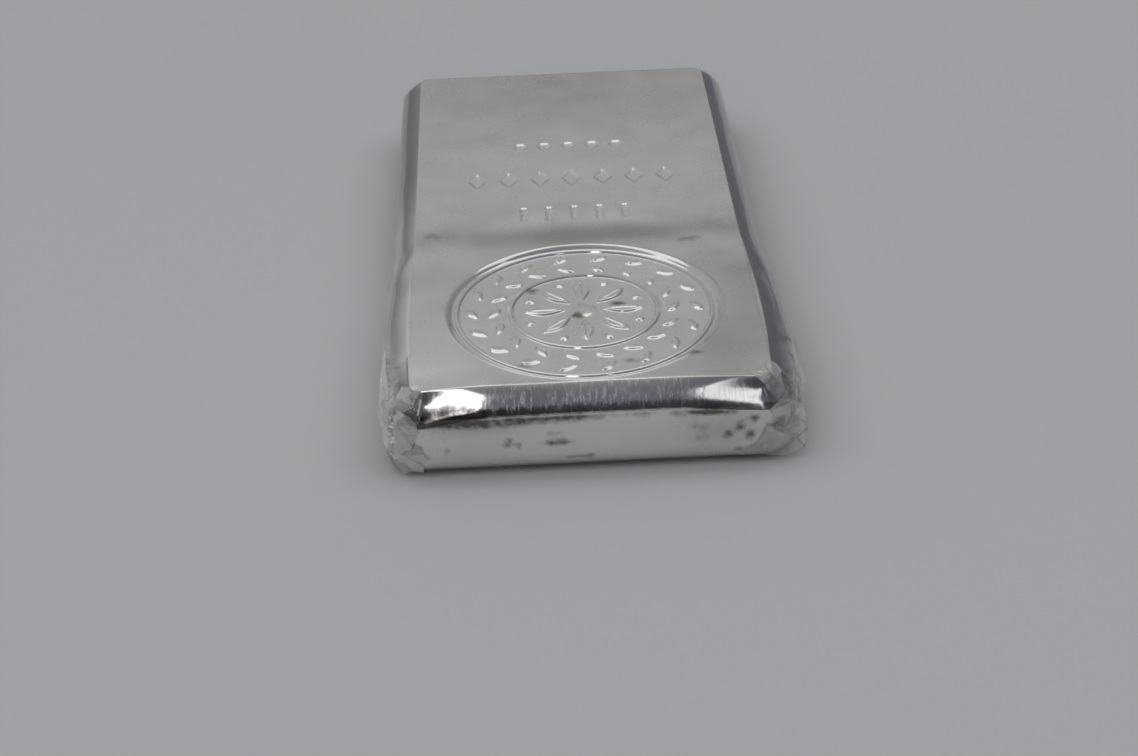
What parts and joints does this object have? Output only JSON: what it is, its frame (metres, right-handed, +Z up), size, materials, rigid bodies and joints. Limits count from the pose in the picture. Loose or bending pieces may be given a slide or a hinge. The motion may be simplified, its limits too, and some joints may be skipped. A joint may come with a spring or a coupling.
{
  "type": "silver bar",
  "caption": "Small cast silver bar with rounded edges and a struck round seal, lying flat in a clear folded film wrap.",
  "frame": {"origin": "centre of the underside of the wrapped bar, on the surface it lies on", "axes": "+Z up through the thickness, +Y along the length from the seal end to the plain end, +X across the width"},
  "size_m": [0.0444, 0.0824, 0.0092],
  "materials": {
    "silver": "satin cast silver, struck, with faint tarnish and handling marks",
    "clear_film": "clear glossy packing film, folded and creased at the corners"
  },
  "bodies": {
    "root": {"silver_bar": "silver", "film_wrap": "clear_film"}
  },
  "joints": []
}
